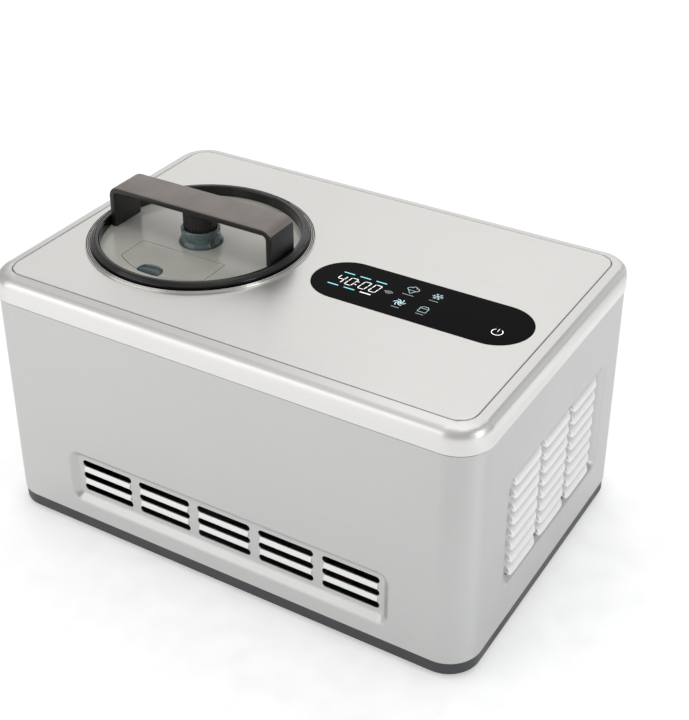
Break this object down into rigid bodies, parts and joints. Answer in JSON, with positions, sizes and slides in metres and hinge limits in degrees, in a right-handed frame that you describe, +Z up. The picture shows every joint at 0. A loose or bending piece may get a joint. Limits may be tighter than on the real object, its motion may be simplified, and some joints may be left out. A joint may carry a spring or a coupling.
{
  "type": "ice cream maker",
  "caption": "Counter-top compressor ice cream maker: steel housing with slots and louvres, round lid with bridge handle and filling flap, lift-out bowl, paddle, gear drive and cooling circuit.",
  "frame": {"origin": "middle of the footprint, on the surface the feet stand on", "axes": "+X to the right along the long front, +Y from the front to the back, +Z up"},
  "size_m": [0.43, 0.288, 0.255],
  "materials": {
    "steel_sheet": "brushed along the length",
    "top_sheet": "fine brushed",
    "trim_chrome": "polished",
    "tray_plastic": "fine grain",
    "foot_rubber": "matt",
    "screw_steel": "zinc plated",
    "control_window": "black, polished",
    "board_green": "solder mask",
    "board_part": "moulded",
    "rear_paint": "matt dark grey",
    "black_plastic": "smooth black",
    "well_aluminium": "satin",
    "copper_tube": "drawn copper",
    "foam": "rigid foam",
    "gear_case": "die cast",
    "bush_bronze": "sintered bronze",
    "motor_steel": "drawn can",
    "comp_paint": "black paint",
    "plate_paint": "grey paint",
    "shaft_steel": "ground",
    "gear_plastic": "acetal",
    "bowl_steel": "spun and brushed",
    "paddle_plastic": "food grade",
    "lid_clear": "smoky clear plastic",
    "handle_brown": "dark pearl",
    "collar_clear": "clear plastic",
    "tab_teal": "smooth"
  },
  "bodies": {
    "base": {"base_tray": "tray_plastic", "feet": "foot_rubber", "base_screws": "screw_steel", "housing_wrap": "steel_sheet", "top_frame": "tray_plastic", "top_cover": "top_sheet", "cover_nuts": "screw_steel", "trim_ring": "trim_chrome", "well_collar": "tray_plastic", "control_glass": "control_window", "control_tray": "tray_plastic", "control_board": "board_green", "rear_panel": "rear_paint", "rear_screws": "screw_steel", "mains_inlet": "black_plastic", "evaporator_well": "well_aluminium", "evaporator_coil": "copper_tube", "well_foam": "foam", "shaft_seal": "foot_rubber", "gearbox_case": "gear_case", "gearbox_cover": "gear_case", "gearbox_screws": "screw_steel", "shaft_bushings": "bush_bronze", "idler_pin": "screw_steel", "stir_motor": "motor_steel", "compressor": "comp_paint", "compressor_plate": "plate_paint", "compressor_grommets": "foot_rubber", "compressor_bolts": "screw_steel", "relay_box": "black_plastic", "condenser_fins": "well_aluminium", "condenser_tube": "copper_tube", "fan_shroud": "rear_paint", "fan_frame": "black_plastic", "fan_screws": "screw_steel", "discharge_line": "copper_tube", "liquid_line": "copper_tube", "filter_drier": "copper_tube", "capillary_tube": "copper_tube", "suction_line": "copper_tube", "power_board": "board_green", "board_parts": "board_part"},
    "drive": {"drive_shaft": "shaft_steel", "output_gear": "gear_plastic"},
    "idler": {"idler_gear": "gear_plastic"},
    "motor": {"motor_pinion": "shaft_steel"},
    "fan": {"fan_rotor": "black_plastic"},
    "bowl": {"bowl": "bowl_steel"},
    "paddle": {"paddle": "paddle_plastic"},
    "lid": {"lid_rim": "black_plastic", "lid_gasket": "foot_rubber", "lid_disc": "lid_clear", "lid_handle": "handle_brown", "handle_post": "black_plastic", "hub_collar": "collar_clear", "handle_screws": "screw_steel"},
    "flap": {"filling_flap": "lid_clear", "flap_tab": "tab_teal"}
  },
  "joints": [
    {"name": "drive_spin", "type": "hinge", "parent": "base", "child": "drive", "pos_m": [-0.102, -0.008, 0.05], "axis": [0, 0, 1], "continuous": true},
    {"name": "idler_spin", "type": "hinge", "parent": "base", "child": "idler", "pos_m": [-0.04744, -0.0395, 0.035], "axis": [0, 0, 1], "continuous": true},
    {"name": "motor_spin", "type": "hinge", "parent": "base", "child": "motor", "pos_m": [-0.00068, -0.0665, 0.06], "axis": [0, 0, 1], "continuous": true},
    {"name": "fan_spin", "type": "hinge", "parent": "base", "child": "fan", "pos_m": [0.1615, 0.005, 0.098], "axis": [1, 0, 0], "continuous": true},
    {"name": "bowl_lift", "type": "slide", "parent": "base", "child": "bowl", "axis": [0, 0, 1], "range_m": [0, 0.17]},
    {"name": "paddle_spin", "type": "hinge", "parent": "bowl", "child": "paddle", "pos_m": [-0.102, -0.008, 0.15], "axis": [0, 0, 1], "continuous": true},
    {"name": "lid_lift", "type": "slide", "parent": "bowl", "child": "lid", "axis": [0, 0, 1], "range_m": [0, 0.06]},
    {"name": "flap_hinge", "type": "hinge", "parent": "lid", "child": "flap", "pos_m": [-0.102, -0.0365, 0.2175], "axis": [-1, 0, 0], "range_deg": [0, 95]}
  ],
  "couplings": [
    {"joint": "idler_spin", "follows": "drive_spin", "ratio": -6},
    {"joint": "motor_spin", "follows": "drive_spin", "ratio": 30},
    {"joint": "paddle_spin", "follows": "drive_spin", "ratio": 1}
  ]
}
